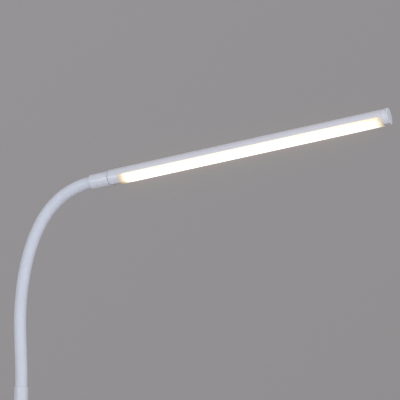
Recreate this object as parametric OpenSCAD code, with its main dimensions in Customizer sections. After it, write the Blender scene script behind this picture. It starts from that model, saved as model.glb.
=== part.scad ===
// Floor lamp: weighted round base with a push-button dimmer, slim pole in two
// tubes, sleeved flexible neck, and a tubular light bar that turns about its
// own axis in a collar.  Origin: centre of the base on the floor, +Z up,
// +X the way the light bar reaches.  Millimetres.

/* [Base] */
// Outside diameter of the base cover
base_d = 230; // [230:1:260]
// Height of the base cover's top above the floor
base_h = 25; // [25:0.5:30]
// Radius of the cover's rounded upper edge
base_edge_r = 7; // [3:0.5:8]
// Thickness of the cover's sheet
cover_t = 2; // [1.6:0.1:2]
// Thickness of the steel weight
weight_t = 10; // [8:0.5:10]
// Thickness of the pad under the base
pad_t = 2; // [2:0.1:2.4]

/* [Pole] */
// Outside diameter of the pole tubes
pole_d = 17.7; // [17:0.1:18.2]
// Wall thickness of the pole tubes
pole_wall = 1; // [0.9:0.05:1]
// Height above the floor at which the two tubes meet
pole_split = 530; // [400:5:650]
// Height of the ferrule's top, where the neck comes out
neck_foot_z = 1050; // [950:5:1250]
// Length of the ferrule above the upper tube
ferrule_len = 30; // [30:1:40]

/* [Neck] */
// Outside diameter of the sleeve
sleeve_d = 15.5; // [15:0.1:15.8]
// Outside diameter of the hollow core
core_d = 10.8; // [10.6:0.1:10.9]
// Length of one stretch of the neck
stretch_len = 29.9; // [28:0.1:34]
// Room left between a stretch and its joint
stretch_trim = 1.45; // [1.4:0.05:1.6]

/* [Light bar] */
// Outside diameter of the collar
collar_d = 19.1; // [18.6:0.1:19.8]
// Length of the collar
collar_len = 25; // [25:0.5:28]
// Outside diameter of the bar
bar_d = 21.1; // [21:0.1:21.4]
// Length of the bar from the collar to its end
bar_len = 368.2; // [340:0.1:400]
// Distance of the bar's flat underside from its axis
bar_flat = 9.3; // [9.2:0.05:9.6]
// Length of the closed stub next to the collar
stub_len = 13.3; // [13:0.1:18]
// Length of the end cap with its flange
cap_len = 8; // [7.5:0.1:10]
// How far the cap's flange stands proud of the bar
flange_proud = 0.5; // [0.2:0.1:0.8]
// Number of light-emitting chips
chip_count = 40; // [20:1:40]

/* [Button] */
// Distance of the push button from the base's centre
button_x = 70; // [68:1:72]
// Diameter of the push button
button_d = 24; // [23:0.5:24]

/* [Hidden] */
$fn = 96;

// how far each stretch of the neck turns towards the head, in degrees
turns = [-2.5, -1, 4, 5, 6, 7, 10.5, 15.5, 19.5, 18];
n_stretch = len(turns);

white = [0.86, 0.87, 0.9];
soft_white = [0.82, 0.84, 0.88];
steel = [0.62, 0.63, 0.65];
zinc = [0.7, 0.71, 0.72];
opal = [0.98, 0.97, 0.94];
black = [0.12, 0.12, 0.13];
board_green = [0.16, 0.36, 0.25];
brass = [0.78, 0.62, 0.32];

base_r = base_d / 2;
inner_r = base_r - cover_t;
weight_r = inner_r - 2;
weight_top = pad_t + weight_t;
roof_z = base_h - cover_t;
pole_r = pole_d / 2;
pole_in_r = pole_r - pole_wall;
plug_r = pole_in_r - 0.05;
pole_top = neck_foot_z - ferrule_len;
thread_r = 5;
sleeve_r = sleeve_d / 2;
core_r = core_d / 2;
core_in_r = 3.25;
sleeve_in_r = core_r + 0.1;
ball_r = 4.8;
pin_r = 0.5;
ear_r = 0.9;
ear_in = ball_r + 0.08;
ear_t = 0.38;
seat_r = sleeve_r + 0.15;
mouth_r = 1.4;
collar_r = collar_d / 2;
bar_r = bar_d / 2;
bar_wall = 1.6;
bar_in_r = bar_r - bar_wall;
stub_in_r = bar_flat - 1.1;
seam_cut = 0.9;
stub_cut = 1.2;
diff_end = bar_len - cap_len - 0.1;
stud_r = 4;
screw_ring_r = 80;
screw_angles = [90, 210, 330];
gland_z = 10.5;
board_z = weight_top + 4;
board_t = 1.6;
board_top = board_z + board_t;
board_x = [30, 94];
board_half_w = 18;
standoff_at = [[34, 15], [34, -15], [90, 15], [90, -15]];
lead_r = 2.1;
button_r = button_d / 2;

// ---- neck path in the XZ plane ------------------------------------------
function heading(k) = k <= 0 ? 0 : heading(k - 1) + turns[k - 1];
function chord(th) = th == 0 ? stretch_len
  : 2 * stretch_len / (abs(th) * PI / 180) * sin(abs(th) / 2);
function knot(k) = k <= 0 ? [0, neck_foot_z]
  : knot(k - 1) + chord(turns[k - 1])
      * [sin(heading(k - 1) + turns[k - 1] / 2), cos(heading(k - 1) + turns[k - 1] / 2)];
neck_end = knot(n_stretch);
neck_end_a = heading(n_stretch);

// ---- shared shapes --------------------------------------------------------
module tube(ro, ri, h) {
  difference() {
    cylinder(r = ro, h = h);
    translate([0, 0, -1]) cylinder(r = ri, h = h + 2);
  }
}

// solid of revolution from half-section points
module lathe(pts) { rotate_extrude() polygon(pts); }

// a straight run of round wire between two points
module run(a, b, r) {
  d = b - a;
  len = norm(d);
  translate(a) rotate([0, acos(d[2] / len), atan2(d[1], d[0])]) cylinder(r = r, h = len);
}

// wire along a list of points, with round corners
module wire(pts, r) {
  for (i = [0 : len(pts) - 2]) run(pts[i], pts[i + 1], r);
  for (i = [1 : len(pts) - 2]) translate(pts[i]) sphere(r = 1.08 * r);
}

// local +Z along the neck at a knot
module at_knot(k) { translate([knot(k)[0], 0, knot(k)[1]]) rotate([0, heading(k), 0]) children(); }

// local +Z along the light bar from the neck's end, local +X down, +Y across
module at_neck_end() { translate([neck_end[0], 0, neck_end[1]]) rotate([0, neck_end_a, 0]) children(); }
module at_bar() { at_neck_end() translate([0, 0, collar_len]) children(); }

// a piece of one stretch, from s0 to s1 along its centre line
module stretch_tube(k, ro, ri, s0, s1) {
  th = turns[k];
  a = heading(k);
  p = knot(k);
  if (th == 0) {
    at_knot(k) translate([0, 0, s0]) tube(ro, ri, s1 - s0);
  } else {
    bend_r = stretch_len / (abs(th) * PI / 180);
    side = sign(th);
    c = p + side * bend_r * [cos(a), -sin(a)];
    sweep = (s1 - s0) / stretch_len * abs(th);
    first = side > 0 ? 180 - a - s1 / stretch_len * th : -a + s0 / stretch_len * abs(th);
    translate([c[0], 0, c[1]]) rotate([90, 0, 0]) rotate([0, 0, first])
      rotate_extrude(angle = sweep) translate([bend_r, 0]) difference() {
        circle(r = ro);
        circle(r = ri);
      }
  }
}

function s_start(k) = k == 0 ? 0 : stretch_trim;
function s_stop(k) = k == n_stretch - 1 ? stretch_len : stretch_len - stretch_trim;

// local +Y along the pivot of a joint: bends and sways take turns
module at_pivot(k) { at_knot(k) rotate([0, 0, k % 2 == 1 ? 0 : 90]) children(); }

// hollow link of the core: ball with two pivot pins at its far end, socket with
// two drilled ears at its near end
module core_link(k) {
  color(steel) difference() {
    union() {
      stretch_tube(k, core_r, core_in_r, s_start(k), s_stop(k));
      if (k < n_stretch - 1) at_knot(k + 1) difference() {
        sphere(r = ball_r);
        translate([0, 0, -10]) cylinder(r = 2, h = 20);
      }
      if (k < n_stretch - 1) at_pivot(k + 1) for (m = [90, -90])
        rotate([m, 0, 0]) translate([0, 0, 3.5]) cylinder(r = pin_r, h = 1.7);
      if (k > 0) at_pivot(k) for (m = [90, -90]) {
        rotate([m, 0, 0]) translate([0, 0, ear_in]) cylinder(r = ear_r, h = ear_t);
        translate([-0.7, m > 0 ? -ear_in - ear_t : ear_in, 0]) cube([1.4, ear_t, 2.2]);
      }
      if (k == 0) translate([0, 0, neck_foot_z - 21.8]) tube(core_r - 0.15, core_in_r + 0.15, 22.4);
      if (k == n_stretch - 1) at_neck_end() translate([0, 0, -0.6]) tube(core_r - 0.15, core_in_r + 0.15, 14.6);
    }
    if (k > 0) at_knot(k) sphere(r = ball_r + 0.05);
    if (k > 0) at_pivot(k) rotate([90, 0, 0]) translate([0, 0, -8]) cylinder(r = pin_r + 0.05, h = 16);
  }
}

// one stretch of the sleeve
module sleeve_piece(k) {
  color(soft_white) union() {
    stretch_tube(k, sleeve_r, sleeve_in_r, s_start(k), s_stop(k));
    if (k == 0) translate([0, 0, neck_foot_z - 6.8]) tube(sleeve_r - 0.1, sleeve_in_r + 0.1, 7.4);
    if (k == n_stretch - 1) at_neck_end() translate([0, 0, -0.6]) tube(sleeve_r - 0.1, sleeve_in_r + 0.1, 7.6);
  }
}

// ---- base -----------------------------------------------------------------
module base_pad() {
  color(black) lathe([[0, 0], [weight_r - 0.6, 0], [weight_r, 0.6], [weight_r, pad_t], [0, pad_t]]);
}

module base_weight() {
  color(steel) difference() {
    translate([0, 0, pad_t]) lathe([[0, 0], [weight_r, 0], [weight_r, weight_t - 1],
      [weight_r - 1, weight_t], [0, weight_t]]);
    cylinder(r = thread_r + 0.2, h = 40);
    translate([0, 0, pad_t - 1]) cylinder(r = 15, h = 7.5);
    for (a = screw_angles) rotate([0, 0, a]) translate([screw_ring_r, 0, 0]) {
      cylinder(r = 2.3, h = 40);
      translate([0, 0, pad_t - 1]) cylinder(r = 4.3, h = 5);
    }
    translate([-weight_r - 5, -9, 0]) cube([22, 18, 40]);
  }
}

// half-section of the cover's shell
module cover_section() {
  difference() {
    union() {
      translate([0, roof_z - 4]) square([base_r - base_edge_r, cover_t + 4]);
      translate([0, 0.8]) square([base_r, base_h - base_edge_r - 0.8]);
      translate([base_r - base_edge_r, base_h - base_edge_r]) circle(r = base_edge_r);
    }
    translate([-1, -1]) square([inner_r + 1, base_h - base_edge_r + 1]);
    translate([-1, 0]) square([base_r - base_edge_r + 1, roof_z]);
    translate([base_r - base_edge_r, base_h - base_edge_r]) circle(r = base_edge_r - cover_t);
    translate([-20, -20]) square([20, 80]);
  }
}

module base_cover() {
  color(white) difference() {
    union() {
      rotate_extrude() cover_section();
      for (a = screw_angles) rotate([0, 0, a])
        translate([screw_ring_r, 0, weight_top + 0.05]) cylinder(r = 5, h = roof_z - weight_top + 0.4);
    }
    cylinder(r = thread_r + 0.3, h = 60);
    translate([button_x, 0, 0]) cylinder(r = 14.5, h = 60);
    translate([-base_r - 5, 0, gland_z]) rotate([0, 90, 0]) cylinder(r = 5.1, h = 20);
    for (a = screw_angles) rotate([0, 0, a])
      translate([screw_ring_r, 0, 0]) cylinder(r = 1.95, h = roof_z - 1);
  }
}

module cover_screws() {
  color(zinc) for (a = screw_angles) rotate([0, 0, a]) translate([screw_ring_r, 0, pad_t + 0.4])
    difference() {
      union() {
        cylinder(r = 3.9, h = 3.5);
        translate([0, 0, 3]) cylinder(r = 1.9, h = 15.2);
      }
      translate([0, 0, -1]) cylinder(r = 1.6, h = 3, $fn = 6);
    }
}

module pole_nipple() {
  color(zinc) difference() {
    translate([0, 0, 3]) lathe([[3.2, 0], [thread_r - 0.6, 0], [thread_r, 0.6], [thread_r, 46.4],
      [thread_r - 0.6, 47], [3.2, 47]]);
    translate([2, -2.2, weight_top + 2]) cube([6, 4.4, 6]);
  }
}

module nipple_washer() {
  color(zinc) translate([0, 0, pad_t + 4.85]) tube(13, thread_r + 0.2, 1.6);
}

module nipple_nut() {
  color(zinc) translate([0, 0, pad_t + 0.8]) difference() {
    cylinder(r = 9.8, h = 4, $fn = 6);
    translate([0, 0, -1]) cylinder(r = thread_r + 0.05, h = 8);
  }
}

// cord bush: outside nose with strain-relief ribs, flange, barrel through the wall
module cord_gland() {
  color(white) translate([-base_r, 0, gland_z]) rotate([0, -90, 0]) difference() {
    lathe([[0, -11], [5, -11], [5, -4.6], [6.9, -4.6], [6.9, -cover_t - 0.3], [5, -cover_t - 0.3],
      [5, 0.05], [7.5, 0.05], [7.5, 2.4], [6.9, 3], [6, 3], [6, 5], [5.4, 5.4], [5.4, 6.6], [5.8, 7],
      [5.8, 9], [5.3, 9.4], [5.3, 10.6], [5.6, 11], [5.6, 13], [5.1, 13.4], [5.1, 15.4], [4.5, 16], [0, 16]]);
    translate([0, 0, 1]) cylinder(r = 3.25, h = 20);
    translate([0, 0, -20]) cylinder(r = 2.2, h = 30);
  }
}

module dimmer_board() {
  color(board_green) difference() {
    translate([board_x[0], -board_half_w, board_z + 0.02])
      cube([board_x[1] - board_x[0], 2 * board_half_w, board_t - 0.04]);
    for (p = standoff_at) translate([p[0], p[1], 0]) cylinder(r = 1.7, h = 40);
  }
}

module board_standoffs() {
  color(brass) for (p = standoff_at) translate([p[0], p[1], weight_top + 0.02]) difference() {
    cylinder(r = 2.9, h = board_z - weight_top - 0.02, $fn = 6);
    translate([0, 0, -1]) cylinder(r = 1.55, h = 10);
  }
}

module board_screws() {
  color(zinc) for (p = standoff_at) translate([p[0], p[1], board_top]) difference() {
    union() {
      lathe([[0, 0], [2.8, 0], [2.8, 1.2], [2.2, 1.9], [0, 1.9]]);
      translate([0, 0, -5]) cylinder(r = 1.5, h = 5.1);
    }
    translate([-0.4, -4, 1.2]) cube([0.8, 8, 2]);
  }
}

module board_parts() {
  color(black) {
    translate([40, -9, board_top]) cylinder(r = 4.5, h = 4.2);
    translate([52, -11, board_top]) cylinder(r = 3, h = 4.8);
    translate([58, 6, board_top]) cube([5, 6, 1]);
    translate([78, -14, board_top]) cube([6, 5, 1]);
    for (i = [0 : 3]) translate([78 + 3 * i, 9, board_top]) cube([1.6, 3.2, 0.8]);
  }
}

module terminal_block() {
  color([0.2, 0.45, 0.3]) difference() {
    translate([44, -5, board_top]) cube([10, 10, 4.8]);
    for (y = [-2.5, 2.5]) translate([49, y, board_top + 3.4]) cylinder(r = 1.5, h = 3);
  }
}

module tact_switch() {
  color(black) translate([button_x, 0, board_top]) {
    translate([-3, -3, 0]) cube([6, 6, 3.4]);
    cylinder(r = 1.7, h = 4);
  }
}

module button_cap() {
  color(white) translate([button_x, 0, base_h - 25])
    lathe([[0, 23.45], [2.2, 23.45], [2.2, 25.4], [10.6, 25.4], [10.6, 23.75], [button_r + 1.2, 23.75],
      [button_r + 1.2, 24.75], [button_r, 24.75], [button_r, 27.3], [button_r - 0.7, 28], [4, 27.7],
      [0, 27.6]]);
}

module button_ring() {
  color(zinc) translate([button_x, 0, base_h - 25])
    lathe([[5.2, 19], [14.3, 19], [14.3, 25.02], [16.5, 25.02], [16.5, 25.8], [15.7, 26.6],
      [button_r + 0.3, 26.6], [button_r + 0.3, 25.05], [button_r + 1.6, 25.05], [button_r + 1.6, 20],
      [5.2, 20]]);
}

module button_spring() {
  color(steel) translate([button_x, 0, base_h - 25])
    lathe([[6.2, 23.3], [6.2, 23.65], [12.6, 20.45], [12.6, 20.05]]);
}

module base_lead() {
  pts = [[-base_r + 13.2, 0, gland_z], [-96, 0, weight_top + 3.5], [-40, 16, weight_top + 3.5],
    [20, 16, weight_top + 3.5], [26, 9.5, board_top + 2.4], [49, 9.5, board_top + 2.4],
    [49, 7.2, board_top + 2.4]];
  color(white) for (i = [0 : len(pts) - 2]) hull() {
    translate(pts[i]) sphere(r = lead_r, $fn = 16);
    translate(pts[i + 1]) sphere(r = lead_r, $fn = 16);
  }
}

module pole_lead() {
  color(white) union() {
    translate([0, 0, weight_top + 3]) cylinder(r = 1.7, h = pole_top - 4 - weight_top - 3);
    wire([[44, 0, board_top + 2.4], [26, 0, board_top + 2.4], [13, 0, weight_top + 5], [0.5, 0, weight_top + 5]], 1.3);
  }
}

// ---- pole -----------------------------------------------------------------
module pole_foot() {
  color(white) translate([0, 0, base_h]) rotate_extrude() difference() {
    translate([pole_r + 0.15, 0]) square([9, 11]);
    translate([pole_r + 9.3, 10.8]) circle(r = 8);
    translate([pole_r + 8.4, 2.6]) square([4, 12]);
    translate([pole_r + 2.4, 10.8]) square([12, 4]);
  }
}

module pole_insert() {
  color(zinc) translate([0, 0, base_h + 0.05]) tube(plug_r, thread_r + 0.05, 30);
}

// pole tube with a fine chamfer on both ends
module pole_tube(z0, z1) {
  lathe([[pole_in_r, z0], [pole_r - 0.25, z0], [pole_r, z0 + 0.25], [pole_r, z1 - 0.25],
    [pole_r - 0.25, z1], [pole_in_r, z1]]);
}

module pole_lower() { color(white) pole_tube(base_h, pole_split); }

module pole_upper() { color(white) pole_tube(pole_split + 0.02, pole_top); }

module joint_socket() {
  color(zinc) translate([0, 0, pole_split - 30]) tube(plug_r, thread_r + 0.05, 29.9);
}

module joint_stud() {
  color(zinc) translate([0, 0, pole_split]) lathe([[3.2, -25], [thread_r - 0.6, -25], [thread_r, -24.4],
    [thread_r, 0.02], [plug_r, 0.02], [plug_r, 30], [3.2, 30]]);
}

module neck_ferrule() {
  color(white) translate([0, 0, neck_foot_z]) lathe([[3.2, -ferrule_len - 20], [plug_r, -ferrule_len - 20],
    [plug_r, -ferrule_len + 0.02], [pole_r - 0.2, -ferrule_len + 0.02], [pole_r, -ferrule_len + 0.22],
    [pole_r, -0.7], [pole_r - 0.6, 0], [seat_r, 0], [seat_r, -7.2], [6.9, -7.2], [6.9, -25.2],
    [3.2, -25.2]]);
}

module neck_foot_fitting() {
  color(zinc) translate([0, 0, neck_foot_z]) lathe([[3.3, -25], [6.85, -25], [6.85, -7.6],
    [core_r + 0.05, -7.6], [core_r + 0.05, -22], [3.3, -22]]);
}

// ---- collar and swivel ----------------------------------------------------
// neck-end bush inside the collar
module neck_head_fitting() {
  color(zinc) at_neck_end() lathe([[core_r + 0.05, 7.4], [seat_r - 0.05, 7.4], [seat_r - 0.05, 15],
    [3.3, 15], [3.3, 14.2], [core_r + 0.05, 14.2]]);
}

// local +Z along the grub screw, out of the collar
grub_a = 42;
module at_grub() { at_neck_end() translate([0, 0, 9.8]) rotate([0, 0, grub_a]) rotate([90, 0, 0]) children(); }

module collar() {
  color(white) difference() {
    at_neck_end() rotate_extrude() difference() {
      union() {
        translate([seat_r, mouth_r]) square([collar_r - seat_r, collar_len - mouth_r - seam_cut]);
        translate([seat_r, 0]) square([collar_r - seat_r - mouth_r, 3]);
        translate([collar_r - mouth_r, mouth_r]) circle(r = mouth_r);
        translate([stud_r + 0.05, 19]) polygon([[0, 0], [collar_r - stud_r - 0.05, 0],
          [collar_r - stud_r - 0.05, collar_len - 19 - seam_cut],
          [collar_r - stud_r - 0.05 - seam_cut, collar_len - 19],
          [0, collar_len - 19]]);
      }
      translate([0, -1]) square([seat_r, 20]);
    }
    at_grub() cylinder(r = 1, h = 20);
  }
}

module grub_screw() {
  color(white) at_grub() difference() {
    translate([0, 0, seat_r + 0.02]) cylinder(r = 0.95, h = collar_r - seat_r - 0.25);
    translate([0, 0, collar_r - 1.1]) cylinder(r = 0.5, h = 3, $fn = 6);
  }
}

module head_spigot() {
  color(steel) at_bar() lathe([[2.5, -8.8], [3.6, -8.8], [stud_r, -8.4], [stud_r, -7.6], [3.4, -7.6],
    [3.4, -6.8], [stud_r, -6.8], [stud_r, 0.3], [stub_in_r - 0.65, 0.3], [stub_in_r - 0.05, 0.9],
    [stub_in_r - 0.05, 11], [2.5, 11]]);
}

module swivel_washer() {
  color(zinc) at_bar() translate([0, 0, -6.7]) tube(6.6, stud_r + 0.2, 0.6);
}

module swivel_clip() {
  color(steel) at_bar() difference() {
    translate([0, 0, -7.5]) tube(6, 3.45, 0.6);
    translate([3.3, -1.2, -8]) cube([5, 2.4, 2]);
  }
}

// ---- light bar: local +Z along the bar, +X down, +Y across ----------------
module head_housing() {
  color(white) at_bar() {
    difference() {
      translate([0, 0, 0.3]) rotate_extrude() polygon([[stub_in_r, 0], [bar_r - stub_cut, 0], [bar_r, stub_cut],
        [bar_r, stub_len - 0.3], [stub_in_r, stub_len - 0.3]]);
      translate([bar_flat, -20, -1]) cube([20, 40, 40]);
    }
    translate([0, 0, stub_len]) linear_extrude(height = diff_end - stub_len) {
      difference() {
        circle(r = bar_r);
        circle(r = bar_in_r);
        translate([-0.05, -20]) square([40, 40]);
      }
      intersection() {
        circle(r = bar_in_r + 0.3);
        translate([-3.6, -20]) square([1.6, 40]);
      }
    }
  }
}

module diffuser() {
  color(opal) at_bar() translate([0, 0, stub_len + 0.05]) linear_extrude(height = diff_end - stub_len - 0.1) {
    difference() {
      circle(r = bar_r);
      intersection() {
        circle(r = bar_r - 1.4);
        translate([-20, -20]) square([20 + bar_flat - 1.4, 40]);
      }
      translate([-39.95, -20]) square([40, 40]);
      translate([bar_flat, -20]) square([40, 40]);
    }
    for (m = [0, 1]) mirror([0, m]) {
      translate([0.05, 7.3]) square([1.4, 2.3]);
      translate([-1.95, 7.3]) square([2.1, 1.3]);
    }
  }
}

module led_board() {
  color([0.9, 0.9, 0.88]) at_bar() translate([-1.98, -6, stub_len + 5]) cube([1, 12, diff_end - stub_len - 12]);
}

module led_chips() {
  pitch = (diff_end - stub_len - 24) / (chip_count - 1);
  color([0.95, 0.85, 0.45]) at_bar() for (i = [0 : chip_count - 1])
    translate([-0.98, -1.4, stub_len + 10 + pitch * i]) cube([0.7, 2.8, 3.5]);
}

module head_leads() {
  color([0.75, 0.1, 0.1]) at_bar() for (m = [-1, 1])
    wire([[0, m * 1.2, 4], [0, m * 1.2, stub_len - 1], [-0.3, m * 3, stub_len + 6], [-0.3, m * 3, stub_len + 7.5]], 0.6);
}

module end_cap() {
  color(white) at_bar() {
    difference() {
      translate([0, 0, bar_len - cap_len]) lathe([[0, 0], [bar_r, 0], [bar_r, cap_len - 1.5],
        [bar_r + flange_proud - 0.15, cap_len - 1.5], [bar_r + flange_proud, cap_len - 1.35],
        [bar_r + flange_proud, cap_len - 0.4], [bar_r + flange_proud - 0.4, cap_len], [0, cap_len]]);
      translate([bar_flat, -20, bar_len - cap_len - 1]) cube([20, 40, 40]);
    }
    translate([0, 0, bar_len - cap_len - 8]) linear_extrude(height = 8.5) intersection() {
      circle(r = bar_in_r - 0.08);
      translate([-40 - 3.68, -20]) square([40, 40]);
    }
  }
}

module neck_core_01() { core_link(0); }
module neck_core_02() { core_link(1); }
module neck_core_03() { core_link(2); }
module neck_core_04() { core_link(3); }
module neck_core_05() { core_link(4); }
module neck_core_06() { core_link(5); }
module neck_core_07() { core_link(6); }
module neck_core_08() { core_link(7); }
module neck_core_09() { core_link(8); }
module neck_core_10() { core_link(9); }
module neck_sleeve_01() { sleeve_piece(0); }
module neck_sleeve_02() { sleeve_piece(1); }
module neck_sleeve_03() { sleeve_piece(2); }
module neck_sleeve_04() { sleeve_piece(3); }
module neck_sleeve_05() { sleeve_piece(4); }
module neck_sleeve_06() { sleeve_piece(5); }
module neck_sleeve_07() { sleeve_piece(6); }
module neck_sleeve_08() { sleeve_piece(7); }
module neck_sleeve_09() { sleeve_piece(8); }
module neck_sleeve_10() { sleeve_piece(9); }

base_pad();
base_weight();
base_cover();
cover_screws();
pole_nipple();
nipple_washer();
nipple_nut();
cord_gland();
dimmer_board();
board_standoffs();
board_screws();
board_parts();
terminal_block();
tact_switch();
button_cap();
button_ring();
button_spring();
base_lead();
pole_lead();
pole_foot();
pole_insert();
pole_lower();
joint_socket();
joint_stud();
pole_upper();
neck_ferrule();
neck_foot_fitting();
neck_core_01();
neck_core_02();
neck_core_03();
neck_core_04();
neck_core_05();
neck_core_06();
neck_core_07();
neck_core_08();
neck_core_09();
neck_core_10();
neck_sleeve_01();
neck_sleeve_02();
neck_sleeve_03();
neck_sleeve_04();
neck_sleeve_05();
neck_sleeve_06();
neck_sleeve_07();
neck_sleeve_08();
neck_sleeve_09();
neck_sleeve_10();
neck_head_fitting();
collar();
grub_screw();
head_spigot();
swivel_washer();
swivel_clip();
head_housing();
diffuser();
led_board();
led_chips();
head_leads();
end_cap();
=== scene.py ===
"""Looks for the floor lamp: a powder-coated base and pole, a sleeved flexible
neck, and a tubular light bar with a lit opal diffuser.  Metres, CAD frame."""
import math

import bmesh
import bpy
from mathutils import Matrix, Vector


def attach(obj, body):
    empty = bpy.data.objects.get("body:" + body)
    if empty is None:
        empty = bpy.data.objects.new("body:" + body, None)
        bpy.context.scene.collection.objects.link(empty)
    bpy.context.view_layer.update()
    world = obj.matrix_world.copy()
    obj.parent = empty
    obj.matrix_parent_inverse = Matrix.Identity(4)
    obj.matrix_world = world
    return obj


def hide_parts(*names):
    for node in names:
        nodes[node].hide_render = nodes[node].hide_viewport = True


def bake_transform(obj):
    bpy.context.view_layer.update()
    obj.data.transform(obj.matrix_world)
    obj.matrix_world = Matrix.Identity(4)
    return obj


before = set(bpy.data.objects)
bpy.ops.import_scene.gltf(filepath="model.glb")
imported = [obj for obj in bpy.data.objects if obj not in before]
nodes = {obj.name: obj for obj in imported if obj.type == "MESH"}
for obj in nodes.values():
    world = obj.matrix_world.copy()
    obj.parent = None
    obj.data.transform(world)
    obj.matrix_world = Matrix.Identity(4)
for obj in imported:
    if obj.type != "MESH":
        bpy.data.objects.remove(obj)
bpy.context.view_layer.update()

scene = bpy.context.scene
MM = 0.001

# ---- measures repeated from the CAD source, in millimetres ---------------------
BASE_R, BASE_H, BASE_EDGE = 115.0, 25.0, 7.0
POLE_R, POLE_IN, POLE_SPLIT, NECK_FOOT = 8.85, 7.85, 530.0, 1050.0
STRETCH, SLEEVE_R, SEAT_R = 29.9, 7.75, 7.9
TURNS = (-2.5, -1, 4, 5, 6, 7, 10.5, 15.5, 19.5, 18)
COLLAR_R, COLLAR_LEN = 9.55, 25.0
BAR_R, BAR_IN, BAR_LEN, STUB, CAP_LEN = 10.55, 8.95, 368.2, 13.3, 8.0
BAR_FLAT, STUB_IN = 9.3, 8.2
DIFF_END = BAR_LEN - CAP_LEN - 0.1
BUTTON_X = 70.0
GLAND_Z = 10.5


# ---- the neck's centre line ----------------------------------------------------
HEADING, KNOT = [0.0], [(0.0, NECK_FOOT)]


def along(x, z, a, c, t):
    """Point and heading after t along a line or arc of curvature c."""
    if abs(c) < 1e-9:
        return x + math.sin(a) * t, z + math.cos(a) * t, a
    return x + (math.cos(a) - math.cos(a + c * t)) / c, z + (math.sin(a + c * t) - math.sin(a)) / c, a + c * t


for turn in TURNS:
    px, pz, pa = along(*KNOT[-1], HEADING[-1], math.radians(turn) / STRETCH, STRETCH)
    KNOT.append((px, pz))
    HEADING.append(pa)
NECK_LEN = STRETCH * len(TURNS)


def neck_at(s):
    """Centre (x, z) and heading at arc length s; straight beyond both ends."""
    if s <= 0:
        return along(*KNOT[0], 0.0, 0.0, s)
    if s >= NECK_LEN:
        return along(*KNOT[-1], HEADING[-1], 0.0, s - NECK_LEN)
    k = min(int(s / STRETCH), len(TURNS) - 1)
    return along(*KNOT[k], HEADING[k], math.radians(TURNS[k]) / STRETCH, s - k * STRETCH)


def placed(x, y, z, pitch=0.0):
    """Local frame at a point in mm, turned about Y; local Z leads."""
    return Matrix.Translation(Vector((x, y, z)) * MM) @ Matrix.Rotation(pitch, 4, "Y")


NECK_END = placed(KNOT[-1][0], 0, KNOT[-1][1], HEADING[-1])
BAR = NECK_END @ Matrix.Translation((0, 0, COLLAR_LEN * MM))
BAR_AXIS = (BAR.to_3x3() @ Vector((0, 0, 1))).normalized()
BAR_DOWN = (BAR.to_3x3() @ Vector((1, 0, 0))).normalized()
SEAM = BAR.translation.copy()


# ---- node helpers --------------------------------------------------------------
def material(name):
    m = bpy.data.materials.new(name)
    m.use_nodes = True
    t = m.node_tree
    t.nodes.clear()
    out = t.nodes.new("ShaderNodeOutputMaterial")
    b = t.nodes.new("ShaderNodeBsdfPrincipled")
    t.links.new(b.outputs["BSDF"], out.inputs["Surface"])
    co = t.nodes.new("ShaderNodeTexCoord").outputs["Object"]
    return m, t, b, co


def noise(t, co, scale, detail=2.0, rough=0.5, distortion=0.0):
    n = t.nodes.new("ShaderNodeTexNoise")
    n.inputs["Scale"].default_value = scale
    n.inputs["Detail"].default_value = detail
    n.inputs["Roughness"].default_value = rough
    n.inputs["Distortion"].default_value = distortion
    t.links.new(co, n.inputs["Vector"])
    return n.outputs["Fac"]


def stretched(t, co, scale):
    n = t.nodes.new("ShaderNodeMapping")
    n.inputs["Scale"].default_value = scale
    t.links.new(co, n.inputs["Vector"])
    return n.outputs["Vector"]


def ramp(t, fac, *stops):
    n = t.nodes.new("ShaderNodeValToRGB")
    while len(n.color_ramp.elements) < len(stops):
        n.color_ramp.elements.new(0.5)
    for e, (pos, colour) in zip(n.color_ramp.elements, stops):
        e.position = pos
        e.color = (*colour, 1.0)
    t.links.new(fac, n.inputs["Fac"])
    return n.outputs["Color"]


def ranged(t, value, lo, hi, a=0.3, b=0.7):
    n = t.nodes.new("ShaderNodeMapRange")
    n.inputs["From Min"].default_value = a
    n.inputs["From Max"].default_value = b
    n.inputs["To Min"].default_value = lo
    n.inputs["To Max"].default_value = hi
    t.links.new(value, n.inputs["Value"])
    return n.outputs["Result"]


def maths(t, op, a, b=None, c=None):
    n = t.nodes.new("ShaderNodeMath")
    n.operation = op
    for socket, v in zip(n.inputs, (a, b, c)):
        if v is None:
            continue
        if isinstance(v, (int, float)):
            socket.default_value = v
        else:
            t.links.new(v, socket)
    return n.outputs[0]


def dotted(t, co, vector):
    n = t.nodes.new("ShaderNodeVectorMath")
    n.operation = "DOT_PRODUCT"
    n.inputs[1].default_value = vector
    t.links.new(co, n.inputs[0])
    return n.outputs["Value"]


def bump(t, b, height, strength, distance):
    n = t.nodes.new("ShaderNodeBump")
    n.inputs["Strength"].default_value = strength
    n.inputs["Distance"].default_value = distance
    t.links.new(height, n.inputs["Height"])
    t.links.new(n.outputs["Normal"], b.inputs["Normal"])


def tint(colour, k):
    return tuple(min(1.0, c * k) for c in colour)


# ---- materials -----------------------------------------------------------------
def powder_coat(name, colour, rough, peel=1100.0, lift=0.05):
    """Fine satin powder coat: orange peel, slight drift of tone and gloss."""
    m, t, b, co = material(name)
    drift = noise(t, co, 11.0, 3.0)
    grain = noise(t, co, 2600.0, 1.0)
    mixed = maths(t, "ADD", maths(t, "MULTIPLY", drift, 0.75), maths(t, "MULTIPLY", grain, 0.25))
    t.links.new(ramp(t, mixed, (0.3, tint(colour, 0.975)), (0.7, tint(colour, 1.02))), b.inputs["Base Color"])
    t.links.new(ranged(t, noise(t, co, 70.0, 3.0), rough - 0.04, rough + 0.04), b.inputs["Roughness"])
    b.inputs["IOR"].default_value = 1.5
    bump(t, b, noise(t, co, peel, 2.0), lift, 0.0001)
    return m


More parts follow.
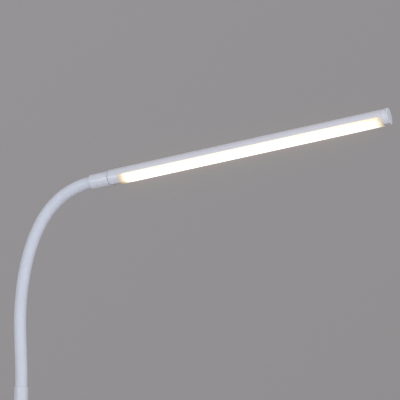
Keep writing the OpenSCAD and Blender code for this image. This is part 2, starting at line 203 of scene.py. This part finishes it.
def silicone(name, colour):
    """Matte moulded sleeve: soft mottling and a very fine skin texture."""
    m, t, b, co = material(name)
    cloud = noise(t, co, 32.0, 4.0, 0.55)
    t.links.new(ramp(t, cloud, (0.3, tint(colour, 0.97)), (0.7, tint(colour, 1.02))), b.inputs["Base Color"])
    t.links.new(ranged(t, noise(t, co, 240.0, 2.0), 0.52, 0.62), b.inputs["Roughness"])
    b.inputs["IOR"].default_value = 1.42
    bump(t, b, noise(t, co, 1800.0, 2.0), 0.05, 0.00008)
    return m


def metal(name, colour, rough, streak=(400.0, 400.0, 30.0), lift=0.06):
    """Turned or drawn metal with fine tool marks and small gloss changes."""
    m, t, b, co = material(name)
    b.inputs["Metallic"].default_value = 1.0
    marks = noise(t, stretched(t, co, streak), 6.0, 3.0, 0.6)
    cloud = noise(t, co, 90.0, 3.0)
    t.links.new(ramp(t, cloud, (0.25, tint(colour, 0.88)), (0.75, tint(colour, 1.06))), b.inputs["Base Color"])
    t.links.new(ranged(t, marks, rough - 0.07, rough + 0.09), b.inputs["Roughness"])
    bump(t, b, marks, lift, 0.00005)
    return m


def plastic(name, colour, rough, scale=1500.0, lift=0.08):
    """Moulded plastic with a spark-eroded grain."""
    m, t, b, co = material(name)
    drift = noise(t, co, 25.0, 2.0)
    t.links.new(ramp(t, drift, (0.3, tint(colour, 0.95)), (0.7, tint(colour, 1.04))), b.inputs["Base Color"])
    t.links.new(ranged(t, noise(t, co, 300.0, 2.0), rough - 0.05, rough + 0.06), b.inputs["Roughness"])
    bump(t, b, noise(t, co, scale, 2.0), lift, 0.0001)
    return m


def foam(name):
    """Cellular rubber pad."""
    m, t, b, co = material(name)
    v = t.nodes.new("ShaderNodeTexVoronoi")
    v.inputs["Scale"].default_value = 900.0
    t.links.new(co, v.inputs["Vector"])
    cells = v.outputs["Distance"]
    t.links.new(ramp(t, cells, (0.0, (0.012, 0.012, 0.013)), (0.8, (0.035, 0.035, 0.037))), b.inputs["Base Color"])
    t.links.new(ranged(t, cells, 0.85, 0.7, 0.0, 0.8), b.inputs["Roughness"])
    bump(t, b, cells, 0.4, 0.0003)
    return m


def circuit_board(name, mask, copper, pitch):
    """Solder mask with copper tracks just showing through."""
    m, t, b, co = material(name)
    w = t.nodes.new("ShaderNodeTexBrick")
    w.inputs["Scale"].default_value = 1.0
    w.inputs["Brick Width"].default_value = pitch * 5
    w.inputs["Row Height"].default_value = pitch
    w.inputs["Mortar Size"].default_value = pitch * 0.16
    w.inputs["Mortar Smooth"].default_value = 0.2
    t.links.new(co, w.inputs["Vector"])
    track = w.outputs["Fac"]
    speck = noise(t, co, 800.0, 2.0)
    mixed = maths(t, "ADD", maths(t, "MULTIPLY", track, 0.7), maths(t, "MULTIPLY", speck, 0.3))
    t.links.new(ramp(t, mixed, (0.1, tint(mask, 0.9)), (0.35, mask), (0.85, copper)), b.inputs["Base Color"])
    t.links.new(ranged(t, speck, 0.3, 0.42), b.inputs["Roughness"])
    bump(t, b, track, 0.25, 0.00006)
    return m


def cable(name, colour):
    """Cable jacket with fine lengthwise draw lines."""
    m, t, b, co = material(name)
    lines = noise(t, stretched(t, co, (1800.0, 1800.0, 40.0)), 1.0, 2.0)
    t.links.new(ramp(t, lines, (0.3, tint(colour, 0.92)), (0.7, tint(colour, 1.04))), b.inputs["Base Color"])
    t.links.new(ranged(t, lines, 0.42, 0.56), b.inputs["Roughness"])
    bump(t, b, lines, 0.1, 0.00008)
    return m


def phosphor(name):
    """Yellow phosphor domes of the light-emitting chips."""
    m, t, b, co = material(name)
    spots = noise(t, co, 1400.0, 3.0)
    t.links.new(ramp(t, spots, (0.3, (0.82, 0.6, 0.12)), (0.7, (0.95, 0.78, 0.25))), b.inputs["Base Color"])
    t.links.new(ranged(t, spots, 0.35, 0.5), b.inputs["Roughness"])
    t.links.new(ramp(t, spots, (0.3, (1.0, 0.8, 0.5)), (0.7, (1.0, 0.88, 0.64))), b.inputs["Emission Color"])
    b.inputs["Emission Strength"].default_value = 4.0
    return m


def lit_opal(name):
    """Opal diffuser: bright over the chips, dying away warm towards both ends and along its edges."""
    m, t, b, co = material(name)
    s = maths(t, "SUBTRACT", dotted(t, co, BAR_AXIS), SEAM.dot(BAR_AXIS))
    down = maths(t, "SUBTRACT", dotted(t, co, BAR_DOWN), SEAM.dot(BAR_DOWN))
    tip = maths(t, "SUBTRACT", down, 3.0 * MM)
    rise = ranged(t, maths(t, "ADD", s, maths(t, "MULTIPLY", tip, 0.2)), 0.0, 1.0, (STUB + 1.3) * MM, (STUB + 17.3) * MM)
    fall = ranged(t, maths(t, "SUBTRACT", s, maths(t, "MULTIPLY", tip, 0.5)), 1.0, 0.0, (DIFF_END - 16.0) * MM, DIFF_END * MM)
    edge = maths(t, "MULTIPLY", ranged(t, down, 0.42, 1.02, 0.0, BAR_FLAT * MM), ranged(t, s, 1.0, 0.74, (DIFF_END - 60.0) * MM, (DIFF_END - 10.0) * MM))
    chips = maths(t, "SINE", maths(t, "MULTIPLY", s, 2 * math.pi / 0.00829))
    ripple = maths(t, "ADD", maths(t, "MULTIPLY", chips, 0.012), 0.985)
    level = maths(t, "MULTIPLY", maths(t, "SMOOTH_MIN", maths(t, "MINIMUM", rise, fall), edge, 0.12), ripple)
    haze = noise(t, co, 160.0, 3.0)
    level = maths(t, "ADD", level, maths(t, "MULTIPLY", maths(t, "SUBTRACT", haze, 0.5), 0.02))
    glow = ramp(t, level, (0.0, (0.075, 0.032, 0.004)), (0.19, (0.16, 0.077, 0.005)), (0.31, (0.25, 0.17, 0.04)), (0.44, (0.35, 0.315, 0.175)),
                (0.63, (0.5, 0.5, 0.41)), (1.0, (1.0, 0.97, 0.91)))
    t.links.new(glow, b.inputs["Emission Color"])
    b.inputs["Emission Strength"].default_value = 1.6
    t.links.new(ramp(t, haze, (0.3, (0.72, 0.69, 0.60)), (0.7, (0.76, 0.73, 0.64))), b.inputs["Base Color"])
    t.links.new(ranged(t, noise(t, co, 500.0, 2.0), 0.34, 0.44), b.inputs["Roughness"])
    bump(t, b, noise(t, co, 1500.0, 2.0), 0.04, 0.0001)
    return m


COAT = (0.79, 0.785, 0.80)
M = {
    "white_coat": powder_coat("powder_coat_white", COAT, 0.36, 1100.0, 0.03),
    # a darker copy of the white powder coat: painted shade on the pole tubes and ferrule
    "pole_coat_painted_shade": powder_coat("powder_coat_white_pole", (0.72, 0.738, 0.748), 0.38, 1100.0, 0.03),
    "white_coat_alu": powder_coat("powder_coat_white_aluminium", tint(COAT, 0.98), 0.33, 1300.0, 0.03),
    "white_silicone": silicone("silicone_white", (0.757, 0.767, 0.793)),
    "steel": metal("steel_drawn", (0.56, 0.57, 0.58), 0.34),
    "zinc_plate": metal("zinc_plate", (0.68, 0.69, 0.71), 0.3, (120.0, 120.0, 900.0)),
    "brass": metal("brass", (0.78, 0.58, 0.27), 0.28),
    "black_foam": foam("cellular_rubber"),
    "white_plastic": plastic("plastic_white", (0.79, 0.79, 0.80), 0.5, 1500.0, 0.03),
    "white_cable": cable("cable_white", (0.75, 0.75, 0.75)),
    "red_wire": cable("wire_red", (0.55, 0.04, 0.035)),
    "board_green": circuit_board("circuit_board_green", (0.02, 0.12, 0.06), (0.1, 0.26, 0.11), 0.0016),
    "board_white": circuit_board("circuit_board_white", (0.8, 0.8, 0.77), (0.7, 0.62, 0.5), 0.002),
    "phosphor": phosphor("phosphor_yellow"),
    "black_plastic": plastic("plastic_black", (0.03, 0.03, 0.032), 0.5),
    "green_plastic": plastic("plastic_green", (0.04, 0.22, 0.1), 0.45),
    "opal": lit_opal("opal_lit"),
}


# ---- mesh helpers --------------------------------------------------------------
def rounded(corners, steps=4):
    """Closed outline with corners (a, b, fillet radius) turned into arcs."""
    out, n = [], len(corners)
    for i, (x, y, rad) in enumerate(corners):
        p = Vector((x, y))
        if rad <= 0:
            out.append(p)
            continue
        a = Vector(corners[i - 1][:2]) - p
        b = Vector(corners[(i + 1) % n][:2]) - p
        la, lb = a.length, b.length
        a.normalize()
        b.normalize()
        half = math.acos(max(-1.0, min(1.0, a.dot(b)))) / 2
        if half > math.radians(89):
            out.append(p)
            continue
        t = min(rad / math.tan(half), 0.48 * la, 0.48 * lb)
        rad = t * math.tan(half)
        centre = p + (a + b).normalized() * (rad / math.sin(half))
        p0, p1 = p + a * t - centre, p + b * t - centre
        a0 = math.atan2(p0.y, p0.x)
        d = (math.atan2(p1.y, p1.x) - a0 + math.pi) % (2 * math.pi) - math.pi
        for j in range(steps + 1):
            g = a0 + d * j / steps
            out.append(centre + rad * Vector((math.cos(g), math.sin(g))))
    return out


def turned(outline, n=96):
    """Closed half-section (radius, height) in mm turned about local Z."""
    bm = bmesh.new()
    rings = []
    for r, z in outline:
        if r < 1e-6:
            rings.append([bm.verts.new((0, 0, z * MM))])
        else:
            rings.append([bm.verts.new((r * math.cos(2 * math.pi * j / n) * MM, r * math.sin(2 * math.pi * j / n) * MM, z * MM))
                          for j in range(n)])
    for i, a in enumerate(rings):
        b = rings[(i + 1) % len(rings)]
        if len(a) == 1 and len(b) == 1:
            continue
        for j in range(n):
            k = (j + 1) % n
            if len(a) == 1:
                bm.faces.new((a[0], b[k], b[j]))
            elif len(b) == 1:
                bm.faces.new((a[j], a[k], b[0]))
            else:
                bm.faces.new((a[j], a[k], b[k], b[j]))
    return bm


def extruded(outline, z0, z1, rows=1):
    """Closed outline in local XY, in mm, drawn from z0 to z1."""
    bm = bmesh.new()
    rings = [[bm.verts.new((x * MM, y * MM, (z0 + (z1 - z0) * i / rows) * MM)) for x, y in outline] for i in range(rows + 1)]
    n = len(outline)
    for a, b in zip(rings, rings[1:]):
        for j in range(n):
            k = (j + 1) % n
            bm.faces.new((a[j], a[k], b[k], b[j]))
    ends = [bm.faces.new(rings[0][::-1]), bm.faces.new(rings[-1])]
    bmesh.ops.triangulate(bm, faces=ends)
    return bm


def smooth(ob, angle=38.0):
    ob.data.shade_smooth()
    ob.data.set_sharp_from_angle(angle=math.radians(angle))


def solid(name, bm, mat, place=None):
    """A mesh object from local geometry, set in place in the CAD frame."""
    if place is not None:
        bmesh.ops.transform(bm, matrix=place, verts=bm.verts[:])
    bmesh.ops.recalc_face_normals(bm, faces=bm.faces[:])
    me = bpy.data.meshes.new(name)
    bm.to_mesh(me)
    bm.free()
    ob = bpy.data.objects.new(name, me)
    scene.collection.objects.link(ob)
    me.materials.append(mat)
    smooth(ob)
    return ob


def baked(ob):
    """The object's modifiers made part of its mesh."""
    bpy.context.view_layer.update()
    me = bpy.data.meshes.new_from_object(ob.evaluated_get(bpy.context.evaluated_depsgraph_get()))
    old = ob.data
    ob.modifiers.clear()
    ob.data = me
    me.name = old.name
    bpy.data.meshes.remove(old)
    smooth(ob)


def carve(ob, tools, op="DIFFERENCE"):
    """Cuts the tools out of an object, or joins them to it."""
    made = []
    for i, (bm, place) in enumerate(tools):
        tool = solid("%s_tool_%d" % (ob.name, i), bm, ob.data.materials[0], place)
        made.append(tool)
        mod = ob.modifiers.new("carve", "BOOLEAN")
        mod.operation = op
        mod.object = tool
        mod.solver = "EXACT"
    baked(ob)
    for tool in made:
        me = tool.data
        bpy.data.objects.remove(tool)
        bpy.data.meshes.remove(me)


def round_edges(ob, width, segments=3, angle=40.0):
    mod = ob.modifiers.new("edges", "BEVEL")
    mod.width = width * MM
    mod.segments = segments
    mod.limit_method = "ANGLE"
    mod.angle_limit = math.radians(angle)
    mod.use_clamp_overlap = True
    baked(ob)


def settle(ob, body, slot, *stands_for):
    """Even shading, then the CAD body and the hidden CAD nodes of a finished piece; slot is not used."""
    mod = ob.modifiers.new("normals", "WEIGHTED_NORMAL")
    mod.keep_sharp = True
    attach(ob, body)
    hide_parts(*stands_for)
    return ob


def rod(r, z0, z1, n=48):
    return turned([(0, z0), (r, z0), (r, z1), (0, z1)], n)


# ---- base ----------------------------------------------------------------------
pad = solid("base_pad_rubber", turned(rounded([(0, 0, 0), (110.4, 0, 0.3), (111, 0.6, 0.3), (111, 2, 0.2), (0, 2, 0)]), 192), M["black_foam"])
settle(pad, "root", "black_foam", "base_pad")

er = BASE_EDGE
outline = [(5.3, BASE_H), (5.3, BASE_H - 2)]
outline += [(BASE_R - er - 6, BASE_H - 2)]
outline += [(BASE_R - er + (er - 2) * math.sin(g), BASE_H - er + (er - 2) * math.cos(g)) for g in [math.pi / 2 * i / 8 for i in range(9)]]
outline += [(BASE_R - 2, 0.8), (BASE_R - 0.5, 0.8), (BASE_R - 0.15, 0.95), (BASE_R, 1.3)]
outline += [(BASE_R - er + er * math.cos(g), BASE_H - er + er * math.sin(g)) for g in [math.pi / 2 * i / 14 for i in range(15)]]
outline += [(BASE_R - er - 6, BASE_H)]
cover = solid("base_cover_shell", turned(outline, 256), M["white_coat"])
bosses = []
for deg in (90, 210, 330):
    at = Matrix.Rotation(math.radians(deg), 4, "Z") @ Matrix.Translation((0.080, 0, 0))
    bosses.append((turned([(1.95, 12.05), (5, 12.05), (5, 23.4), (1.95, 23.4)], 40), at))
carve(cover, bosses, "UNION")
carve(cover, [(rod(14.5, 18, 32, 96), placed(BUTTON_X, 0, 0)), (rod(5.1, -6, 6, 64), placed(-BASE_R, 0, GLAND_Z, -math.pi / 2))])
settle(cover, "root", "white_coat", "base_cover")

ring = solid("button_bezel", turned(rounded([
    (5.2, 19, 0), (14.3, 19, 0.2), (14.3, 25.02, 0), (16.5, 25.02, 0.1), (16.5, 25.8, 0.25), (15.7, 26.6, 0.3),
    (12.3, 26.6, 0.3), (12.3, 25.05, 0), (13.6, 25.05, 0), (13.6, 20, 0), (5.2, 20, 0)]), 128), M["zinc_plate"], placed(BUTTON_X, 0, 0))
settle(ring, "root", "zinc_plate", "button_ring")

dish = [(10.9 * (1 - i / 6), 27.94 - 0.34 * (1 - (1 - i / 6) ** 2), 0) for i in range(7)]
button = solid("button_push_cap", turned(rounded([
    (0, 23.45, 0), (2.2, 23.45, 0.3), (2.2, 25.4, 0), (10.6, 25.4, 0), (10.6, 23.75, 0), (13.2, 23.75, 0.1), (13.2, 24.75, 0.1),
    (12, 24.75, 0), (12, 27.3, 0.25), (11.3, 28, 0.3)] + dish), 128), M["white_plastic"], placed(BUTTON_X, 0, 0))
settle(button, "button", "white_plastic", "button_cap")

gland = solid("cord_bush", turned(rounded([
    (2.2, -11, 0), (5, -11, 0.4), (5, -4.6, 0), (6.9, -4.6, 0.3), (6.9, -2.3, 0.1), (5, -2.3, 0), (5, 0.05, 0),
    (7.5, 0.05, 0.1), (7.5, 2.4, 0.3), (6.9, 3, 0.3), (6, 3, 0.2), (6, 5, 0.3), (5.4, 5.4, 0.2), (5.4, 6.6, 0.2), (5.8, 7, 0.3),
    (5.8, 9, 0.3), (5.3, 9.4, 0.2), (5.3, 10.6, 0.2), (5.6, 11, 0.3), (5.6, 13, 0.3), (5.1, 13.4, 0.2), (5.1, 15.4, 0.4),
    (4.5, 16, 0.3), (3.25, 16, 0.3), (3.25, 1, 0), (2.2, 1, 0)]), 96), M["white_plastic"], placed(-BASE_R, 0, GLAND_Z, -math.pi / 2))
settle(gland, "root", "white_plastic", "cord_gland")

# ---- pole ----------------------------------------------------------------------
sweep = [(POLE_R + 9.3 + 8 * math.cos(g), 10.8 + 8 * math.sin(g), 0) for g in [math.radians(262 - 82 * i / 16) for i in range(17)]]
foot = solid("pole_foot_ring", turned(rounded([(POLE_R + 0.15, 0, 0), (POLE_R + 9.15, 0, 0.15), (POLE_R + 9.15, 2.75, 0.55)] + sweep + [(POLE_R + 1.3, 11, 0.35), (POLE_R + 0.15, 11, 0.25)]), 128),
             M["white_coat"], placed(0, 0, BASE_H))
settle(foot, "root", "white_coat", "pole_foot")


# the pole tubes take the darker copy of the white coat, which is painted shade
def tube(name, z0, z1):
    return solid(name, turned(rounded([(POLE_IN, z0, 0), (POLE_R, z0, 0.5), (POLE_R, z1, 0.5), (POLE_IN, z1, 0)]), 96), M["pole_coat_painted_shade"])


settle(tube("pole_tube_lower", BASE_H, POLE_SPLIT), "root", "white_coat", "pole_lower")
settle(tube("pole_tube_upper", POLE_SPLIT + 0.02, NECK_FOOT - 30), "root", "white_coat", "pole_upper")

# the ferrule takes the darker copy of the white coat, which is painted shade
ferrule = solid("neck_ferrule_turned", turned(rounded([
    (3.2, -50, 0), (POLE_IN - 0.05, -50, 0.4), (POLE_IN - 0.05, -29.98, 0), (POLE_R, -29.98, 0.3), (POLE_R, -0.7, 0.35), (POLE_R - 0.6, 0, 0.1), (SEAT_R, 0, 0), (SEAT_R, -7.2, 0),
    (6.9, -7.2, 0), (6.9, -25.2, 0), (3.2, -25.2, 0)]), 96), M["pole_coat_painted_shade"], placed(0, 0, NECK_FOOT))
settle(ferrule, "root", "white_coat", "neck_ferrule")


# ---- neck: one continuous sleeve, in pieces that run across each joint, curved along the centre line ---
def sleeve(name, s0, s1, n=64):
    rows = max(2, round((s1 - s0) / 1.25))
    bm = bmesh.new()
    rings = []
    for i in range(rows + 1):
        x, z, a = neck_at(s0 + (s1 - s0) * i / rows)
        here = []
        for r in (SLEEVE_R, SLEEVE_R - 0.6):
            here.append([bm.verts.new(((x + r * math.cos(g) * math.cos(a)) * MM, r * math.sin(g) * MM,
                                       (z - r * math.cos(g) * math.sin(a)) * MM))
                         for g in [2 * math.pi * j / n for j in range(n)]])
        rings.append(here)
    for j in range(n):
        k = (j + 1) % n
        for lower, upper in zip(rings, rings[1:]):
            bm.faces.new((lower[0][j], lower[0][k], upper[0][k], upper[0][j]))
            bm.faces.new((lower[1][k], lower[1][j], upper[1][j], upper[1][k]))
        bm.faces.new((rings[0][0][k], rings[0][0][j], rings[0][1][j], rings[0][1][k]))
        bm.faces.new((rings[-1][0][j], rings[-1][0][k], rings[-1][1][k], rings[-1][1][j]))
    return solid(name, bm, M["white_silicone"])


half = STRETCH / 2
first = sleeve("neck_skin_00", -6.8, half)
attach(first, "root")
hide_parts("neck_sleeve_01")
last = sleeve("neck_skin_10", NECK_LEN - half, NECK_LEN + 7.0)
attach(last, "collar")
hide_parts("neck_sleeve_10")
for k in range(1, len(TURNS)):
    skin = sleeve("neck_skin_%02d" % k, k * STRETCH - half, k * STRETCH + half)
    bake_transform(skin)
    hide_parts("neck_sleeve_%02d" % k, "neck_sleeve_%02d" % (k + 1))

# ---- collar --------------------------------------------------------------------
collar = solid("collar_turned", turned(rounded([
    (SEAT_R, 2.4, 0), (SEAT_R + 0.55, 0, 0.1), (COLLAR_R, 0, 1.4), (COLLAR_R, 8, 0), (COLLAR_R, 15, 0), (COLLAR_R, COLLAR_LEN - 0.9, 0.3), (COLLAR_R - 0.9, COLLAR_LEN, 0.25),
    (4.05, COLLAR_LEN, 0), (4.05, 19, 0), (SEAT_R, 19, 0)], 6), 128), M["white_coat"], NECK_END)
grub = NECK_END @ Matrix.Translation((0, 0, 9.8 * MM)) @ Matrix.Rotation(math.radians(42), 4, "Z") @ Matrix.Rotation(math.pi / 2, 4, "X")
carve(collar, [(turned([(0, 4), (1.0, 4), (1.0, 13), (0, 13)], 40), grub)])
settle(collar, "collar", "white_coat", "collar")


# ---- light bar -----------------------------------------------------------------
def bar_housing():
    """Closed stub with a flat underside, then an open profile: its lower half is cut away."""
    bm = bmesh.new()
    top, side, under = 80, 32, 16

    def ring(r, s, full=True, flat=True):
        cut = math.acos(-0.05 / r)
        edge = math.acos(min(1.0, BAR_FLAT / r)) if flat else 0.5
        turns = [cut + (2 * math.pi - 2 * cut) * i / top for i in range(top + 1)]
        if full:
            turns += [-cut + (cut - edge) * i / side for i in range(1, side)]
            turns += [-edge + 2 * edge * i / under for i in range(under + 1)]
            turns += [edge + (cut - edge) * i / side for i in range(1, side)]
        out = []
        for g in turns:
            x, y = r * math.cos(g), r * math.sin(g)
            if flat and x > BAR_FLAT + 1e-9:
                x, y = BAR_FLAT, BAR_FLAT * math.tan(g)
            out.append(bm.verts.new((x * MM, y * MM, s * MM)))
        return out

    o = [ring(BAR_R - 1.2, 0.3), ring(BAR_R, 1.5), ring(BAR_R, STUB), ring(BAR_R, DIFF_END, False)]
    i = [ring(STUB_IN, 0.3, True, False), ring(STUB_IN, STUB, True, False), ring(BAR_IN, STUB, False), ring(BAR_IN, DIFF_END, False)]
    n = len(o[0])
    for j in range(n):
        k = (j + 1) % n
        for a, b in ((o[0], o[1]), (o[1], o[2]), (i[1], i[0]), (i[0], o[0])):
            bm.faces.new((a[j], a[k], b[k], b[j]))
        if j < top:
            for a, b in ((o[2], o[3]), (o[3], i[3]), (i[3], i[2]), (i[2], i[1])):
                bm.faces.new((a[j], a[k], b[k], b[j]))
        elif j == top:
            bm.faces.new((o[2][j], o[2][k], i[1][k], i[1][j], i[2][j]))
        elif k == 0:
            bm.faces.new((o[2][j], o[2][0], i[2][0], i[1][0], i[1][j]))
        else:
            bm.faces.new((o[2][j], o[2][k], i[1][k], i[1][j]))
    for j in (0, top):
        bm.faces.new((o[2][j], o[3][j], i[3][j], i[2][j]))
    return bm


housing = solid("bar_housing", bar_housing(), M["white_coat_alu"], BAR)
round_edges(housing, 0.22, 4)
w = math.sqrt((BAR_IN + 0.3) ** 2 - 3.6 ** 2)
v = math.sqrt((BAR_IN + 0.3) ** 2 - 2.0 ** 2)
carve(housing, [(extruded([(-3.6, -w), (-2.0, -v), (-2.0, v), (-3.6, w)], STUB + 0.02, DIFF_END - 0.02), BAR)], "UNION")
smooth(housing, 24.0)
settle(housing, "head", "white_coat_alu", "head_housing")


def opal_outline():
    thin = BAR_R - 1.4
    low, high = math.acos(BAR_FLAT / BAR_R), math.acos(0.05 / BAR_R)
    inner, floor = math.acos(1.45 / thin), math.acos((BAR_FLAT - 1.4) / thin)
    half_line = [(BAR_R * math.cos(low + (high - low) * i / 48), BAR_R * math.sin(low + (high - low) * i / 48), 0) for i in range(48)]
    half_line += [(0.05, BAR_R * math.sin(high), 0.22), (0.05, 8.6, 0), (-1.95, 8.6, 0.2), (-1.95, 7.3, 0.2), (1.45, 7.3, 0.2)]
    half_line += [(thin * math.cos(inner + (floor - inner) * i / 30), thin * math.sin(inner + (floor - inner) * i / 30), 0) for i in range(31)]
    return half_line + [(x, -y, f) for x, y, f in half_line[::-1]]


opal = solid("diffuser_opal", extruded(rounded(opal_outline()), STUB + 0.05, DIFF_END - 0.05, 8), M["opal"], BAR)
smooth(opal, 24.0)
settle(opal, "head", "opal", "diffuser")

fl = BAR_R + 0.5
cap = solid("bar_end_cap", turned(rounded([
    (0, 0, 0), (BAR_R, 0, 0.22), (BAR_R, CAP_LEN - 1.5, 0.05), (fl, CAP_LEN - 1.5, 0.15), (fl, CAP_LEN, 0.4), (0, CAP_LEN, 0)], 5), 160), M["white_plastic"], BAR @ Matrix.Translation((0, 0, (BAR_LEN - CAP_LEN) * MM)))
r, x = BAR_IN - 0.08, -3.68
g0 = math.acos(x / r)
tongue = [(r * math.cos(g0 + (2 * math.pi - 2 * g0) * i / 40), r * math.sin(g0 + (2 * math.pi - 2 * g0) * i / 40)) for i in range(41)]
carve(cap, [(extruded(tongue, BAR_LEN - CAP_LEN - 8, BAR_LEN - CAP_LEN + 0.5), BAR)], "UNION")
carve(cap, [(extruded([(BAR_FLAT, -20), (20, -20), (20, 20), (BAR_FLAT, 20)], BAR_LEN - CAP_LEN - 1, BAR_LEN + 1), BAR)])
smooth(cap, 24.0)
settle(cap, "head", "white_plastic", "end_cap")

# ---- CAD parts that stay as they are ---------------------------------------------
CARRIED = {
    "steel": ["base_weight", "button_spring", "head_spigot", "swivel_clip"] + ["neck_core_%02d" % k for k in range(1, 11)],
    "zinc_plate": ["cover_screws", "pole_nipple", "nipple_washer", "nipple_nut", "board_screws", "pole_insert", "joint_socket", "joint_stud",
                   "neck_foot_fitting", "neck_head_fitting", "swivel_washer"],
    "white_coat": ["grub_screw"],
    "brass": ["board_standoffs"],
    "white_cable": ["base_lead", "pole_lead"],
    "red_wire": ["head_leads"],
    "board_green": ["dimmer_board"],
    "board_white": ["led_board"],
    "phosphor": ["led_chips"],
    "black_plastic": ["board_parts", "tact_switch"],
    "green_plastic": ["terminal_block"],
}
for slot, names in CARRIED.items():
    for name in names:
        nodes[name].data.materials.clear()
        nodes[name].data.materials.append(M[slot])
        smooth(nodes[name], 30.0)

# ---- floor, light, camera ---------------------------------------------------------
m, t, b, co = material("studio_floor")
t.links.new(ramp(t, noise(t, co, 2.0, 4.0), (0.3, (0.53, 0.49, 0.47)), (0.7, (0.57, 0.53, 0.51))), b.inputs["Base Color"])
t.links.new(ranged(t, noise(t, co, 40.0, 3.0), 0.6, 0.75), b.inputs["Roughness"])
bm = bmesh.new()
bmesh.ops.create_circle(bm, cap_ends=True, radius=60.0, segments=128)
floor = solid("studio_floor", bm, m, Matrix.Translation((0, 0, -0.0003)))

AZ, PITCH, ROLL = math.radians(20.2842), math.radians(10.5), math.radians(0.0074)
ahead = Vector((-math.sin(AZ), math.cos(AZ), 0))
right = Vector((math.cos(AZ), math.sin(AZ), 0))
up = Vector((0, 0, 1))
forward = ahead * math.cos(PITCH) + up * math.sin(PITCH)
lift = up * math.cos(PITCH) - ahead * math.sin(PITCH)
cam_x = right * math.cos(ROLL) + lift * math.sin(ROLL)
cam_y = lift * math.cos(ROLL) - right * math.sin(ROLL)
cam_data = bpy.data.cameras.new("camera")
cam_data.sensor_width = 36.0
cam_data.lens = 2150.0 / 400 * 36.0
cam_data.clip_start, cam_data.clip_end = 0.05, 100.0
camera = bpy.data.objects.new("camera", cam_data)
scene.collection.objects.link(camera)
rot = Matrix((cam_x, cam_y, -forward)).transposed().to_4x4()
camera.matrix_world = Matrix.Translation((1.144768, -2.450315, 0.789043)) @ rot
scene.camera = camera


def soft_light(name, turn, rise, dist, width, height, watts, colour):
    """Soft box round the light bar: turn is right of the camera, rise above it."""
    g = math.radians(turn)
    back = -(ahead * math.cos(g) + right * -math.sin(g))
    way = back * math.cos(math.radians(rise)) + up * math.sin(math.radians(rise))
    data = bpy.data.lights.new(name, "AREA")
    data.shape = "RECTANGLE"
    data.size, data.size_y = width, height
    data.energy = watts
    data.color = colour
    ob = bpy.data.objects.new(name, data)
    scene.collection.objects.link(ob)
    ob.location = Vector((0.22, 0, 1.32)) + way * dist
    ob.rotation_mode = "QUATERNION"
    ob.rotation_quaternion = way.to_track_quat("Z", "Y")
    ob.visible_camera = False
    return ob


soft_light("key_mid", 0, 2, 2.2, 1.3, 0.5, 12.4, (0.6, 0.74, 1.0))
soft_light("key_high", 0, 22, 2.2, 1.3, 0.5, 4.5, (1.0, 0.77, 0.75))
soft_light("key_left", -40, -4, 2.2, 0.5, 0.12, 11.4, (0.75, 0.88, 1.0))
soft_light("fill_right", 45, 2, 2.2, 1.3, 0.5, 9.0, (0.87, 0.93, 1.0))
soft_light("side_right", 85, 2, 2.2, 1.3, 0.5, 5.6, (0.78, 0.83, 1.0))
soft_light("low_right", 70, -30, 1.6, 1.0, 0.4, 1.8, (0.85, 0.9, 1.0))
soft_light("back_mid", 182, 12, 2.2, 1.3, 0.5, 15.0, (0.85, 0.9, 1.0)).visible_glossy = False

world = bpy.data.worlds.new("studio")
world.use_nodes = True
scene.world = world
t = world.node_tree
t.nodes.clear()
out = t.nodes.new("ShaderNodeOutputWorld")
bg = t.nodes.new("ShaderNodeBackground")
t.links.new(bg.outputs["Background"], out.inputs["Surface"])
co = t.nodes.new("ShaderNodeTexCoord").outputs["Generated"]
slope = dotted(t, co, tuple((up - right).normalized()))
t.links.new(ramp(t, ranged(t, slope, 0.0, 1.0, -1.0, 1.0), (0.0, (0.205, 0.198, 0.199)), (1.0, (0.357, 0.346, 0.359))), bg.inputs["Color"])
bg.inputs["Strength"].default_value = 1.0
scene.view_settings.view_transform = "Standard"
scene.view_settings.look = "None"

# soft halo of the lens round the lit bar
scene.use_nodes = True
t = scene.node_tree
t.nodes.clear()
halo = t.nodes.new("CompositorNodeGlare")
halo.glare_type = "BLOOM"
halo.quality = "HIGH"
halo.inputs["Threshold"].default_value = 1.0
halo.inputs["Strength"].default_value = 0.38
halo.inputs["Tint"].default_value = (1.0, 0.62, 0.25, 1.0)
halo.inputs["Size"].default_value = 0.1
t.links.new(t.nodes.new("CompositorNodeRLayers").outputs["Image"], halo.inputs["Image"])
t.links.new(halo.outputs["Image"], t.nodes.new("CompositorNodeComposite").inputs["Image"])
